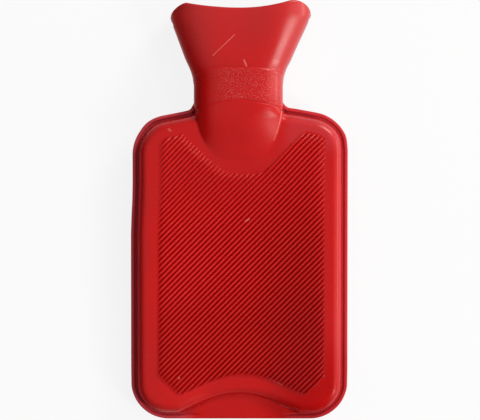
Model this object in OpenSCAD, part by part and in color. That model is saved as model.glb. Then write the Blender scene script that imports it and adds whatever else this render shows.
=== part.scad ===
// Hot water bottle: a moulded rubber bottle with a ribbed front, a socket moulded into its neck,
// and a screw stopper with a sealing washer. It lies on its back, on the funnel's lip and its own heel.
// Each piece is drawn about the bottle's middle plane, with +Y towards the mouth, and then laid down.

/* [Body] */
// Width across the rim
body_w = 147; // [130:1:165]
// Length from the bottom edge to the root of the neck
body_l = 210; // [180:1:260]
// Thickness over the flat front and back
body_t = 24; // [18:1:30]
// Wall of the body
body_wall = 2.2; // [1.5:0.1:3.5]
// Corner radius at the bottom
bottom_r = 27; // [24:0.5:40]
// Corner radius at the shoulders
shoulder_r = 27; // [24:0.5:36]
// Fall of the shoulders, in degrees
shoulder_fall = 11; // [4:1:20]
// Drop of the shoulder corners below the root of the neck
shoulder_drop = 3; // [1:0.5:12]
// How far the rounded edge reaches in from the rim
edge_run = 7.5; // [5:0.5:9]

/* [Rim] */
// Width of the bead along the edge
bead_w = 2.9; // [2:0.1:4]
// Thickness of the bead
bead_t = 3.8; // [3:0.1:5]
// Thickness of the web in the groove
web_t = 2; // [1.6:0.1:2.8]
// Width of the groove between the bead and the body
groove_w = 1.9; // [1:0.1:3]
// Width of the arched flat tab at the bottom
tab_w = 82; // [60:1:88]
// Height of the arch above the bottom rim
tab_h = 13; // [6:0.5:20]

/* [Neck] */
// Width of the neck
neck_w = 59; // [52:0.5:66]
// Thickness of the neck
neck_t = 38; // [36:0.5:44]
// Length from the body to the start of the flare
neck_l = 16; // [12:0.5:24]
// Radius of the web between neck and shoulder
fillet_r = 8; // [5:0.5:12]
// Length of the half cone that runs from the neck down onto the body
tongue_l = 35; // [26:1:44]

/* [Funnel] */
// Length from the start of the flare to the dip of the lip
funnel_l = 52; // [46:1:64]
// Width across the two ears
mouth_w = 95; // [80:1:110]
// Thickness at the dip of the lip
mouth_t = 46; // [42:1:54]
// Wall of the funnel
funnel_wall = 3; // [2:0.1:4]
// Height over which the round floor inside opens out to the funnel
floor_run = 14; // [10:1:20]
// Rise of the lip from its dip to the corners of the ears
lip_rise = 5.5; // [2:0.5:9]
// Width between the two high corners of the lip
lip_span = 71; // [56:1:78]
// Drop of the lip from a corner to the outer end of its ear
ear_drop = 9.5; // [6:0.5:14]

/* [Ribs] */
// Distance from rib to rib
rib_pitch = 2.65; // [2.4:0.05:6]
// Width at the foot of a rib
rib_w = 1.7; // [1.2:0.1:2.2]
// Width of the crest
rib_crest = 0.5; // [0.3:0.1:1]
// Height above the front
rib_h = 0.9; // [0.5:0.1:1.5]
// Direction of the ribs, in degrees from the bottom edge
rib_angle = 45; // [20:1:70]
// Plain border beside and below the ribbed field
rib_border = 12; // [9:0.5:20]
// Plain border under the shoulders
top_border = 9; // [7:0.5:20]
// Distance from the tongue's tip down to the ribs
plain_gap = 8.5; // [6:0.5:14]
// Half width of the plain ground where its sides start to spread
plain_half = 13; // [8:0.5:20]

/* [Stopper] */
// Diameter of the threaded shank
shank_d = 22; // [18:0.5:23]
// Length of the shank below the washer
shank_l = 20; // [14:0.5:21.5]
// Diameter of the flange
flange_d = 29.6; // [27:0.2:30]
// Thickness of the flange
flange_t = 2.5; // [2:0.1:4]
// Width of the wing that is gripped
wing_w = 29; // [20:0.5:29.4]
// Thickness of the wing
wing_t = 6; // [4:0.5:8]
// Height of the wing above the flange
wing_h = 26; // [18:0.5:30]
// Running clearance of the stopper, around its shank and on its washer
thread_gap = 0.05; // [0.03:0.01:0.09]

/* [Socket and washer] */
// Length of the socket
socket_l = 22; // [20:0.5:24]
// Wall of the socket
socket_wall = 1.5; // [1.2:0.1:2]
// Thickness of the socket's two collars
collar_t = 2; // [1.5:0.1:3]
// Reach of the lower collar beyond the socket's wall
collar_w = 1.8; // [1:0.1:2.2]
// Thickness of the washer
washer_t = 2; // [1.5:0.1:3]
// Clearance around the socket in the rubber
seat_gap = 0.05; // [0.04:0.01:0.1]

/* [Hidden] */

rubber = "#c4201f";
brass = "#c9a24b";
plastic = "#2b2b2e";
seal = "#1d1d1d";

// The driving heights along the bottle, measured from its own middle
total_l = body_l + neck_l + funnel_l + lip_rise;
bottom_y = -total_l / 2;
root_y = bottom_y + body_l;
flare_y = root_y + neck_l;
dip_y = flare_y + funnel_l;

// Where the body starts inside the rim, and where its flat front starts
body_inset = bead_w + groove_w;
flat_inset = body_inset + edge_run;
rib_inset = body_inset + rib_border;
top_inset = body_inset + top_border;

// The socket is centred in the neck, and the stopper's flange seats on the washer on top of it
socket_y = root_y + 1;
seat_y = socket_y + socket_l;
bore_r = shank_d / 2 + thread_gap;
stopper_y = seat_y + washer_t + thread_gap;
seat_r = flange_d / 2 + 0.2;
floor_r = seat_r + 0.8;

arc_steps = 7; // points on a corner of the body, less one
tab_steps = 12; // points along the tab, less one
ring_steps = 36; // points around the neck and funnel
soft = 8; // length over which the flare sets in

// Each corner of the body's outline is [centre, radius, first angle, last angle], anticlockwise.
fall_n = [sin(shoulder_fall), cos(shoulder_fall)];
shoulder_c = [body_w / 2 - shoulder_r, root_y - shoulder_drop - shoulder_r];
crown_r = 60;
crown_c = [0, (fall_n * shoulder_c + shoulder_r - crown_r) / fall_n[1]];
bottom_c = [body_w / 2 - bottom_r, bottom_y + bottom_r];
corners = [
    [bottom_c, bottom_r, -90, 0],
    [shoulder_c, shoulder_r, 0, 90 - shoulder_fall],
    [crown_c, crown_r, 90 - shoulder_fall, 90 + shoulder_fall],
    [[-shoulder_c[0], shoulder_c[1]], shoulder_r, 90 + shoulder_fall, 180],
    [[-bottom_c[0], bottom_c[1]], bottom_r, 180, 270]
];
normals = [for (c = corners, i = [0:arc_steps]) let (a = c[2] + (c[3] - c[2]) * i / arc_steps)
    [c[0], c[1], [cos(a), sin(a)]]];

function smooth(u) = let (t = min(max(u, 0), 1)) t * t * (3 - 2 * t);
function mix(a, b, u) = a + (b - a) * u;

// Height of the arch over the tab, from 0 at its ends to 1 in the middle
function arch(x) = abs(x) >= tab_w / 2 ? 0 : pow((1 + cos(360 * x / tab_w)) / 2, 0.6);

// The body's outline moved inwards by inset, with its bottom edge arched over the tab where lift is 1,
// at height z, or at tab_z where the arch is at full height.
function outline(inset, z, lift = 0, tab_z = undef) =
    let (
        round = [for (n = normals) concat(n[0] + (n[1] - inset) * n[2], [z])],
        x_end = tab_w / 2,
        tab = [for (i = [0:tab_steps]) let (x = -x_end + 2 * x_end * i / tab_steps)
            [x, bottom_y + inset + lift * tab_h * arch(x), is_undef(tab_z) ? z : mix(z, tab_z, arch(x))]]
    ) concat(round, tab);

// A superellipse across the bottle at height y: half width a, half thickness b, squareness p
function oval(y, a, b, p, n = ring_steps) = [for (i = [0:n - 1]) let (t = 360 * i / n, c = cos(t), s = sin(t))
    [a * sign(c) * pow(abs(c), 2 / p), y, b * sign(s) * pow(abs(s), 2 / p)]];

// Outer half width and half thickness of the neck and funnel at height y
flare_gain = (mouth_w - neck_w) / 2 * (funnel_l - 4 + soft) / pow(funnel_l - 4, 2);
function flare(y) = let (t = max(0, y - flare_y)) t * t / (t + soft);
function soft_min(a, b, k) = let (h = min(max(0.5 + (b - a) / 2 / k, 0), 1)) mix(b, a, h) - k * h * (1 - h);
function half_w(y) = soft_min(neck_w / 2 + flare_gain * flare(y), mouth_w / 2, 2);
function half_t(y) = neck_t / 2 + (mouth_t - neck_t) / 2 * flare(y) / flare(dip_y);

// Height of the lip at x: a shallow dip between the ears' corners, and a round fall outside them
function lip_y(x) = let (u = abs(x) / (lip_span / 2), v = (abs(x) - lip_span / 2) / ((mouth_w - lip_span) / 2))
    u <= 1 ? dip_y + lip_rise * u * u
    : dip_y + lip_rise - ear_drop * (1 - sqrt(max(0, 1 - v * v)));

// Closed solid through a list of rings that all have the same number of points
module skin(rings) {
    n = len(rings[0]);
    last = len(rings) - 1;
    walls = [for (r = [0:last - 1], i = [0:n - 1]) let (j = (i + 1) % n, a = r * n, b = a + n)
        each [[a + i, a + j, b + j], [a + i, b + j, b + i]]];
    ends = [[for (i = [n - 1:-1:0]) i], [for (i = [0:n - 1]) last * n + i]];
    polyhedron([for (r = rings) each r], concat(walls, ends), convexity = 6);
}

// Rings of the rim and the body, from the front's flat down to the middle plane
edge_steps = 5;
rim_half = [
    for (i = [0:edge_steps]) let (t = 90 * (1 - i / edge_steps))
        outline(body_inset + edge_run * (1 - cos(t)), mix(web_t / 2, body_t / 2, sin(t)), 1,
            i == edge_steps ? bead_t / 2 : undef),
    outline(bead_w, web_t / 2, 0, bead_t / 2),
    outline(bead_w * 0.78, bead_t * 0.42),
    outline(bead_w * 0.45, bead_t / 2),
    outline(bead_w * 0.16, bead_t * 0.4),
    outline(0, bead_t * 0.17)
];
function flipped(ring) = [for (p = ring) [p[0], p[1], -p[2]]];

module pillow() {
    last = len(rim_half) - 1;
    skin(concat(rim_half, [for (i = [last:-1:0]) flipped(rim_half[i])]));
}

// Hollow of the body, one wall inside its rounded edge
module body_hollow() {
    inner_t = body_t / 2 - body_wall;
    top = [for (i = [0:edge_steps - 1]) let (t = 90 * (1 - i / edge_steps))
        outline(body_inset + body_wall + edge_run * (1 - cos(t)), inner_t * sin(t), 1)];
    last = len(top) - 1;
    skin(concat(top, [for (i = [last:-1:0]) flipped(top[i])]));
}

// Neck, funnel and the tongue that fades onto the body
tongue_steps = 7;
funnel_steps = 10;
tip_y = root_y - tongue_l;
function tongue_w(u) = neck_w / 2 * (1 + 0.08 * (1 - pow(2 * u - 1, 2))) * pow(1 - pow(1 - u, 4), 0.5);
function tongue_t(u) = mix(body_t / 2 - 0.6, neck_t / 2, smooth(0.12 + 0.88 * u));

module neck_outside() {
    rings = concat(
        [for (i = [0:tongue_steps]) let (u = mix(0.04, 1, i / tongue_steps))
            oval(mix(tip_y, root_y, u), tongue_w(u), tongue_t(u), 3)],
        [oval(flare_y, neck_w / 2, neck_t / 2, 3)],
        [for (i = [1:funnel_steps]) let (y = mix(flare_y, dip_y + lip_rise + 1, i / funnel_steps))
            oval(y, half_w(y), half_t(y), 2.7)]
    );
    skin(rings);
}

// The passage from the body to the socket
module passage() {
    wall = body_wall;
    top_u = 1 + (socket_y - root_y) / tongue_l;
    rings = [for (i = [0:6]) let (u = mix(0.12, top_u, i / 6), k = smooth((u - 0.6) / (top_u - 0.6)))
        oval(mix(tip_y, root_y, u) + (i == 6 ? 0.1 : 0), mix(tongue_w(min(u, 1)) - 1.6 * wall, bore_r + 1, k),
            mix(tongue_t(min(u, 1)) - wall, bore_r + 1, k), mix(3, 2, k))];
    skin(rings);
}

// The inside of the funnel, from the flat around the socket up to the mouth
module funnel_hollow() {
    rings = [for (i = [0:8]) let (y = mix(seat_y, dip_y + lip_rise + 2, pow(i / 8, 1.3)), k = smooth((y - seat_y) / floor_run))
        oval(y, mix(floor_r, half_w(y) - funnel_wall, k), mix(floor_r, half_t(y) - funnel_wall, k), mix(2, 2.7, k))];
    skin(rings);
}

// What is cut away above the lip
module above_lip() {
    steps = 24;
    reach = mouth_w / 2 + 8;
    line = [for (i = [0:steps]) let (x = mouth_w / 2 * sin(mix(-90, 90, i / steps))) [x, lip_y(x)]];
    translate([0, 0, -mouth_t]) linear_extrude(2 * mouth_t)
        polygon(concat([[-reach, dip_y + lip_rise - ear_drop]], line, [[reach, dip_y + lip_rise - ear_drop],
            [reach, dip_y + 2 * lip_rise + 10], [-reach, dip_y + 2 * lip_rise + 10]]));
}

// Web and bead in the corner between the neck and a shoulder
module neck_web() {
    centre_x = neck_w / 2 + fillet_r - 0.4;
    shoulder_line = fall_n * shoulder_c + shoulder_r;
    centre_y = (shoulder_line + fillet_r - 0.2 - fall_n[0] * centre_x) / fall_n[1];
    span = 90 - shoulder_fall;
    plate_r = fillet_r + bead_w / 2;
    plate_t = web_t - 0.2;
    slim = 0.97; // the bead runs just inside the rim's own bead where they meet
    arc = [for (i = [0:6]) let (t = 174 + (span + 12) * i / 6) [centre_x, centre_y] + plate_r * [cos(t), sin(t)]];
    foot_y = centre_y - fillet_r - 7;
    foot = [[centre_x + 1, foot_y], [neck_w / 2 - 6, foot_y], [neck_w / 2 - 6, centre_y + 1]];
    translate([0, 0, -plate_t / 2]) linear_extrude(plate_t) polygon(concat(arc, foot));
    translate([centre_x, centre_y, 0]) rotate([0, 0, 173]) rotate_extrude(angle = span + 14, $fn = 40)
        polygon([for (p = [[0, 0.17], [0.16, 0.4], [0.45, 0.5], [0.78, 0.42], [1.2, 0.2], [1.2, -0.2],
            [0.78, -0.42], [0.45, -0.5], [0.16, -0.4], [0, -0.17]])
            [fillet_r + bead_w * p[0], slim * bead_t * p[1]]]);
}

// Ribs on the front: parallel lines across the field, each ended where it meets the field's edge
rib_d = [cos(rib_angle), sin(rib_angle)];
rib_n = [sin(rib_angle), -cos(rib_angle)];
field_low = bottom_y + rib_inset;
field_high = shoulder_c[1] + shoulder_r - top_inset;
field_mid = [0, (field_low + field_high) / 2];
field_half = [body_w / 2 - rib_inset, (field_high - field_low) / 2];
seed_line = [field_half[0], -field_half[1]];
rib_count = 2 * floor((seed_line * rib_n) / rib_pitch) + 1;
rib_shortest = 5;

function depth_in(p) = min([for (n = normals) n[1] + (n[0] - p) * n[2]]);
// Lower edge of the plain ground around the tongue, with a rounded foot and sides parallel to the ribs
function ground(x) = let (t = abs(x) - plain_half) tip_y - plain_gap + (t + sqrt(t * t + 36)) / 2 * tan(rib_angle);
function in_field(p) = depth_in(p) > (p[1] > 0 ? top_inset : rib_inset) && abs(p[0]) < field_half[0]
    && p[1] < ground(p[0]) && p[1] > field_low + tab_h * arch(p[0]);
function run(p, d, lo, hi, n) = n == 0 ? lo
    : let (m = (lo + hi) / 2) in_field(p + m * d) ? run(p, d, m, hi, n - 1) : run(p, d, lo, m, n - 1);

module rib(a, b) {
    sunk = 0.3;
    hull() for (p = [a, b]) translate([p[0], p[1], body_t / 2 - sunk]) rotate([0, 0, rib_angle])
        cylinder(h = rib_h + sunk, d1 = rib_w, d2 = rib_crest, $fn = 4);
}

module ribs() {
    for (i = [0:rib_count - 1]) {
        s = (i - (rib_count - 1) / 2) * rib_pitch;
        seed = field_mid + seed_line * s / (seed_line * rib_n);
        up = run(seed, rib_d, 0, body_l, 13);
        down = run(seed, -rib_d, 0, body_l, 13);
        if (up + down > rib_shortest) rib(seed + (up - rib_w / 2) * rib_d, seed - (down - rib_w / 2) * rib_d);
    }
}

// Outer profile of the socket, as [radius, height] points, grown by gap for its seat in the rubber
function socket_profile(gap) = let (r = bore_r + socket_wall + gap, low_r = r + collar_w) [
    [0, -gap], [low_r, -gap], [low_r, collar_t + gap], [r, collar_t + gap],
    [r, socket_l - collar_t - gap], [seat_r + gap, socket_l - collar_t - gap], [seat_r + gap, socket_l], [0, socket_l]
];

module along_neck(y) translate([0, y, 0]) rotate([-90, 0, 0]) children();

// Turns a piece to lie on the lip of the funnel and on the lower edge of its back
heel_y = bottom_y + flat_inset;
rest_tilt = atan((mouth_t - body_t) / 2 / (dip_y - heel_y));
lift = mouth_t / 2 * cos(rest_tilt) - dip_y * sin(rest_tilt);
ear_z = mouth_t / 2 * 0.75;
module laid_down() translate([0, -ear_z * sin(rest_tilt) / 2, lift]) rotate([rest_tilt, 0, 0]) children();

module bottle() color(rubber) laid_down() {
    difference() {
        union() {
            pillow();
            neck_outside();
            neck_web();
            mirror([1, 0, 0]) neck_web();
            ribs();
        }
        body_hollow();
        passage();
        along_neck(socket_y) rotate_extrude($fn = 64) polygon(socket_profile(seat_gap));
        funnel_hollow();
        above_lip();
    }
}

module neck_socket() color(brass) laid_down() along_neck(socket_y) difference() {
    rotate_extrude($fn = 96) polygon(socket_profile(0));
    translate([0, 0, -1]) cylinder(h = socket_l + 2, r = bore_r, $fn = 96);
}

module sealing_washer() color(seal) laid_down() along_neck(seat_y) difference() {
    cylinder(h = washer_t, d = flange_d, $fn = 96);
    translate([0, 0, -1]) cylinder(h = washer_t + 2, r = bore_r, $fn = 96);
}

// Shank, flange and hub are turned about the screw's axis, and the wing stands across it
module stopper() color(plastic) laid_down() along_neck(stopper_y) {
    hub_d = 16;
    chamfer = 1;
    corner = 7;
    shank_end = -washer_t - shank_l;
    rotate_extrude($fn = 96) polygon([
        [0, shank_end], [shank_d / 2 - chamfer, shank_end], [shank_d / 2, shank_end + chamfer],
        [shank_d / 2, 0], [flange_d / 2, 0],
        [flange_d / 2, flange_t - 0.6], [flange_d / 2 - 0.6, flange_t], [hub_d / 2 + 1.5, flange_t],
        [hub_d / 2, flange_t + 4], [0, flange_t + 4]
    ]);
    difference() {
        translate([0, wing_t / 2, flange_t - 0.2]) rotate([90, 0, 0]) linear_extrude(wing_t) wing_outline(corner);
        for (side = [-1, 1]) translate([0, side * (wing_t / 2 + 10.6), flange_t + wing_h * 0.58])
            sphere(r = 12, $fn = 64);
    }
}

module wing_outline(corner) {
    top = wing_h + 0.2;
    translate([-wing_w / 2, top * 0.35]) square([wing_w, top * 0.65 - corner]);
    translate([-wing_w / 2 + corner, 0]) square([wing_w - 2 * corner, top]);
    for (side = [-1, 1]) {
        translate([side * (wing_w / 2 - corner), top - corner]) circle(r = corner, $fn = 48);
        translate([side * (wing_w / 2 - corner), top * 0.35]) circle(r = corner, $fn = 48);
    }
}

bottle();
neck_socket();
sealing_washer();
stopper();
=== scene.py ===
import bmesh
import bpy
import numpy as np
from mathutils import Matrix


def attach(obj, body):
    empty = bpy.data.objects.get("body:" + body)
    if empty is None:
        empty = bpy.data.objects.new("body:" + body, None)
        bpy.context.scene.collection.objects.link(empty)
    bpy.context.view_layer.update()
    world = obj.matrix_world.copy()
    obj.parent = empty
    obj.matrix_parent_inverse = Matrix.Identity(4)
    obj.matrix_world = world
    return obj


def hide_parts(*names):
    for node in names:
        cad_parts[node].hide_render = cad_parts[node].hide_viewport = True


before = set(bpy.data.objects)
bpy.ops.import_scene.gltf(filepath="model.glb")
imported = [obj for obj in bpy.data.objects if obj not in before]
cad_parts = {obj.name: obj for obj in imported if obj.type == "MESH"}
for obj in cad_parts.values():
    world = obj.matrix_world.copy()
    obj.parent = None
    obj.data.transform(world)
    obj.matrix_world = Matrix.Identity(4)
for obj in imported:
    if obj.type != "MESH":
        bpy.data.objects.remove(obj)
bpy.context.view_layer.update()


# Every shape is worked out in millimetres about the bottle's own middle plane, with +Y towards the mouth,
# and is then laid on its back as the frame has it, and turned to metres. The two numbers in a ramp such as
# smooth((y - 42) / 10) are the place where it starts and its run, in millimetres.
pose = {"tilt": np.radians(2.3707), "shift": -0.3568, "lift": 17.3444}

body = {
    "halfWidth": 73.5, "bottom": -141.75, "root": 68.25, "halfThickness": 12.0,
    "bottomR": 25.5, "shoulderR": 27.0, "fall": np.radians(11), "shoulderDrop": 3.0,
    "bead": 2.6, "beadHeight": 1.9, "webHeight": 0.3, "wallStart": 4.1, "wallRun": 7.6, "wall": 2.2,
    "tabWidth": 82.0, "tabHeight": 13.0, "filletR": 8.0, "sag": 4.5, "slump": 4.8,
    "skew": 1.0, "raised": 0.45, "drawn": 1.2, "pushed": 0.9, "bulge": 1.2, "pinched": 0.7,
}
neck = {
    "halfWidth": 29.5, "halfThickness": 19.0, "flare": 84.25, "tip": 33.25, "capTip": 35.0,
    "bandLow": 74.5, "bandHigh": 96.6, "bandRise": 0.2, "bandLine": 0.3, "soften": 1.1,
}
funnel = {
    "dip": 136.25, "length": 52.0, "halfWidth": 47.5, "halfThickness": 23.0, "soft": 8.0, "wall": 3.0,
    "earHalf": 47.1, "riseRight": 5.35, "riseLeft": 3.4, "halfSpan": 36.0, "lean": 1.3, "fullLeft": 1.4,
    "dropRight": 8.4, "dropLeft": 7.9, "roundRight": 1.95, "roundLeft": 1.6, "dish": 2.0,
}
seat = {"top": 91.25, "bottom": 69.25, "floorR": 15.8, "collarR": 15.06, "wallR": 12.61, "footR": 14.41,
        "collar": 2.0, "boreR": 12.05}
around = 352  # points around each row of the bottle, even


def smooth(t):  # 0 below 0, 1 above 1, and 3tt - 2ttt between
    t = np.clip(t, 0, 1)
    return t * t * (3 - 2 * t)


def mix(a, b, t):
    return a + (b - a) * t


def softMax(a, b, k):  # the larger of a and b, rounded over where they are less than k apart
    h = np.clip(0.5 + 0.5 * (a - b) / np.maximum(k, 1e-9), 0, 1)
    return mix(b, a, h) + k * h * (1 - h)


def layDown(p):  # turns millimetres in the bottle's own frame to metres in the row frame
    c, s = np.cos(pose["tilt"]), np.sin(pose["tilt"])
    x, y, z = p[..., 0], p[..., 1], p[..., 2]
    # The bottle is a little crooked, each time by a size that ramps fade out: its right shoulder stands
    # higher than its left one and is pushed out, its left side is drawn in below the shoulder, and its
    # neck bulges to the left and is pinched at the right.
    y = y + ((body["raised"] + body["skew"] * np.sign(x)) * smooth((np.abs(x) - 20) / 20)
             * smooth(y / 50) * smooth((76 - y) / 6))
    drawn = body["drawn"] * smooth((-x - 30) / 30) * smooth((y + 18) / 35) * smooth((62 - y) / 10)
    pushed = body["pushed"] * smooth((x - 34) / 30) * smooth((y - 42) / 10) * smooth((72 - y) / 4)
    bulge = body["bulge"] * smooth((-x - 17) / 10) * smooth((y - 66) / 5) * smooth((98 - y) / 14)
    pinched = body["pinched"] * smooth((x - 17) / 10) * smooth((y - 84) / 7) * smooth((102 - y) / 7)
    x = x + drawn + pushed - bulge - pinched
    return np.stack([x, y * c - z * s + pose["shift"], y * s + z * c + pose["lift"]], -1) * 0.001


def gridFaces(ids, closedAround):  # quads between neighbouring rows and columns of a grid of point numbers
    if closedAround:
        ids = np.concatenate([ids, ids[:, :1]], 1)
    quads = np.stack([ids[:-1, :-1], ids[:-1, 1:], ids[1:, 1:], ids[1:, :-1]], -1)
    return quads.reshape(-1, 4)


def makeMesh(name, points, quads, bodyName, sharp):  # sharp is the least angle of a hard edge in degrees
    mesh = bpy.data.meshes.new(name)
    mesh.from_pydata(layDown(points.reshape(-1, 3)).tolist(), [], quads.tolist())
    mesh.update()
    mesh.shade_smooth()
    mesh.set_sharp_from_angle(angle=np.radians(sharp))
    made = bpy.data.objects.new(name, mesh)
    bpy.context.scene.collection.objects.link(made)
    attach(made, bodyName)
    return made


# The camera looks straight down on the front, at the photograph's scale of 0.678 mm to a pixel.
view = {"distance": 1.6, "across": 480 * 0.000678, "x": 0.0005, "y": -0.0002, "height": 0.0173}
camera = bpy.data.objects.new("camera", bpy.data.cameras.new("camera"))
camera.data.sensor_width = 36
camera.data.lens = 36 * view["distance"] / view["across"]
camera.location = (view["x"], view["y"], view["height"] + view["distance"])
bpy.context.scene.collection.objects.link(camera)
bpy.context.scene.camera = camera
print("camera set")


# Outline of the body: the middles of its corner arcs, the shoulder's falling line by its normal and its
# distance, and the arc of the web, which runs a little into neck and shoulder.
shoulderC = np.array([body["halfWidth"] - body["shoulderR"],
                      body["root"] - body["shoulderDrop"] - body["shoulderR"]])
bottomC = np.array([body["halfWidth"] - body["bottomR"], body["bottom"] + body["bottomR"]])
fallN = np.array([np.sin(body["fall"]), np.cos(body["fall"])])
shoulderLine = fallN @ shoulderC + body["shoulderR"]
filletC = np.array([neck["halfWidth"] + body["filletR"] - 0.4, 0.0])
filletC[1] = (shoulderLine + body["filletR"] - 0.2 - fallN[0] * filletC[0]) / fallN[1]


def bodyInset(x, y):
    # How deep a point lies inside the body's outline: the least of its distances to the straight lines
    # that touch the outline all around, taken at every 2 degrees of the corners.
    x = np.abs(x)
    depth = np.minimum(body["halfWidth"] - x, y - body["bottom"])
    depth = np.minimum(depth, shoulderLine - fallN[0] * x - fallN[1] * y)
    corners = ((bottomC, body["bottomR"], -90, 0), (shoulderC, body["shoulderR"], 0, 79))
    for centre, radius, first, last in corners:
        for a in np.radians(np.arange(first, last + 1, 2.0)):
            n = np.array([np.cos(a), np.sin(a)])
            depth = np.minimum(depth, radius + (centre[0] - x) * n[0] + (centre[1] - y) * n[1])
    return depth


def rimInset(x, y):
    # The same, with the rounded web between neck and shoulder counted in: the distance from its arc.
    dx, dy = np.abs(x) - filletC[0], y - filletC[1]
    angle = np.degrees(np.arctan2(dy, dx)) % 360
    arc = np.where((angle > 174) & (angle < 259.5), np.hypot(dx, dy) - body["filletR"], -99)
    return np.maximum(bodyInset(x, y), arc)


def flareAt(y):  # how far the funnel has opened: a parabola that turns into a straight line
    t = np.maximum(0, y - neck["flare"])
    return t * t / (t + funnel["soft"])


flareGain = (funnel["halfWidth"] - neck["halfWidth"]) / flareAt(neck["flare"] + funnel["length"] - 4)
flareTop = flareAt(funnel["dip"])


def neckHalf(y):  # flares out from the neck, and levels off at the ears
    return -softMax(-(neck["halfWidth"] + flareGain * flareAt(y)), -funnel["earHalf"], 1.0)


def neckThick(y):  # half thickness of neck and funnel, which opens by the same curve
    return neck["halfThickness"] + (funnel["halfThickness"] - neck["halfThickness"]) * flareAt(y) / flareTop


def halfWidthAt(y, inset=0.0):
    # Half width of a row: the body's corner arcs and sides, the shoulder's line, the web's arc, or the neck.
    below, above = np.minimum(0, y - bottomC[1]), np.maximum(0, y - shoulderC[1])
    low = bottomC[0] + np.sqrt(np.maximum(0, (body["bottomR"] - inset) ** 2 - below ** 2))
    high = shoulderC[0] + np.sqrt(np.maximum(0, (body["shoulderR"] - inset) ** 2 - above ** 2))
    line = (shoulderLine - inset - fallN[1] * y) / fallN[0]
    top = np.where(y > shoulderC[1] + (body["shoulderR"] - inset) * fallN[1], line, high)
    wide = np.minimum(low, top)
    if inset:
        return wide
    web = filletC[0] - np.sqrt(np.maximum(0, body["filletR"] ** 2 - (y - filletC[1]) ** 2))
    wide = np.where((y > filletC[1] - body["filletR"]) & (y < filletC[1]), np.maximum(wide, web), wide)
    return np.where(y > 60, np.maximum(wide, neckHalf(y)), wide)


def quarter(depth, start, run, height, power=2.0):
    # A quarter of a superellipse that rises over run from start.
    t = np.clip((depth - start) / run, 0, 1)
    return height * np.maximum(0, 1 - (1 - t) ** power) ** (1 / power)


def archAt(x):  # rise of the tab's arch, 1 in the middle and 0 at its ends: a cosine to the power 1.2
    return np.where(np.abs(x) < body["tabWidth"] / 2, np.abs(np.cos(np.pi * x / body["tabWidth"])) ** 1.2, 0)


def tabInset(x, y, depth):
    # Depth inside the outline with the bottom edge raised over the tab: the height over the arch, made
    # square to it by the arch's slope, which has the cosine to the power 0.2 as the arch's sixth root.
    arch = archAt(x)
    slope = (body["tabHeight"] * 1.2 * np.pi / body["tabWidth"] * np.sin(np.pi * x / body["tabWidth"])
             * arch ** (1 / 6))
    over = (y - body["bottom"] - body["tabHeight"] * arch) / np.sqrt(1 + slope * slope)
    return np.where(y < 0, np.minimum(depth, over), depth)


def capWide(y):  # half width of the tongue: a superellipse of power 3 that narrows towards its tip
    u = np.clip((y - neck["capTip"]) / (body["root"] - neck["capTip"]), 0, 1)
    return (24.5 + 5.3 * u) * np.maximum(1e-6, 1 - (1 - u) ** 3) ** (1 / 3)


def capRise(y):  # how far the middle of the tongue stands off the panel: a ramp from its tip to the root
    u = np.clip((y - neck["capTip"]) / (body["root"] - neck["capTip"]), 0, 1)
    return (neck["halfThickness"] - body["halfThickness"]) * smooth(0.12 + 0.88 * u) * (u > 0)


def tongue(y):
    # Half width, half thickness and squareness of the passage, the neck and the funnel at height y.
    u = np.clip((y - neck["tip"]) / (body["root"] - neck["tip"]), 0, 1)
    swell = 1 + 0.08 * (1 - (2 * u - 1) ** 2)
    wide = neck["halfWidth"] * swell * np.sqrt(np.maximum(1e-6, 1 - (1 - u) ** 4))
    thick = mix(body["halfThickness"] - 0.6, neck["halfThickness"], smooth(0.12 + 0.88 * u))
    above = y > body["root"]
    return (np.where(above, neckHalf(y), wide), np.where(above, neckThick(y), thick * (u > 0)),
            mix(3.0, 2.7, smooth((y - 84) / 16)))


def bandEdges(x):  # the lower and the upper edge of the pebbled band around the neck, both arched upwards
    return neck["bandLow"] - 6.0 * (x / 29) ** 2, neck["bandHigh"] - 5.0 * (x / 29) ** 4


def bandAt(x, y):  # 1 on the band and 0 off it, with a ramp of 1.2 mm inside both edges
    low, high = bandEdges(x)
    return smooth((y - low) / 1.2) * smooth((high - y) / 1.2)


def bandLine(x, y):  # a fine groove along both edges of the band, as two bells across the edges
    low, high = bandEdges(x)
    return np.exp(-((y - low) / 0.45) ** 2) + np.exp(-((y - high) / 0.5) ** 2)


# The ribbed field. The steps are the shares of a pitch at which a rib's section has its points, and the
# crest is the share at which it is highest.
ribs = {
    "pitch": 2.65, "height": 1.15, "angle": np.radians(45), "crest": -0.12, "inset": 16.8, "topInset": 13.8,
    "gap": 8.5, "plainHalf": 13.4, "plainMiddle": 2.4, "aside": 1.0, "corner": 168.5,
    "steps": (-0.5, -0.43, -0.32, -0.22, -0.16, -0.12, -0.07, 0, 0.12, 0.24, 0.36, 0.46),
}
fieldHalf = body["halfWidth"] - ribs["inset"]
fieldLow = body["bottom"] + ribs["inset"]
fieldHigh = shoulderC[1] + body["shoulderR"] - ribs["topInset"]


def fieldDepth(px, py):
    # How deep a point lies in the ribbed field: inside the outline, with the lower corners cut off, above
    # the arch, and below the plain ground of the neck, whose foot is a hyperbola that spreads along the ribs.
    t = np.abs(px - ribs["plainMiddle"]) - ribs["plainHalf"]
    ground = neck["tip"] - ribs["gap"] + (t + np.sqrt(t * t + 6 ** 2)) / 2
    depth = bodyInset(px, py) - np.where(py > 0, ribs["topInset"], ribs["inset"])
    for limit in (fieldHalf - np.abs(px), ground - py, py - fieldLow - body["tabHeight"] * archAt(px),
                  (ribs["corner"] - np.abs(px) + py) * 0.7):
        depth = np.minimum(depth, limit)
    return depth


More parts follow.
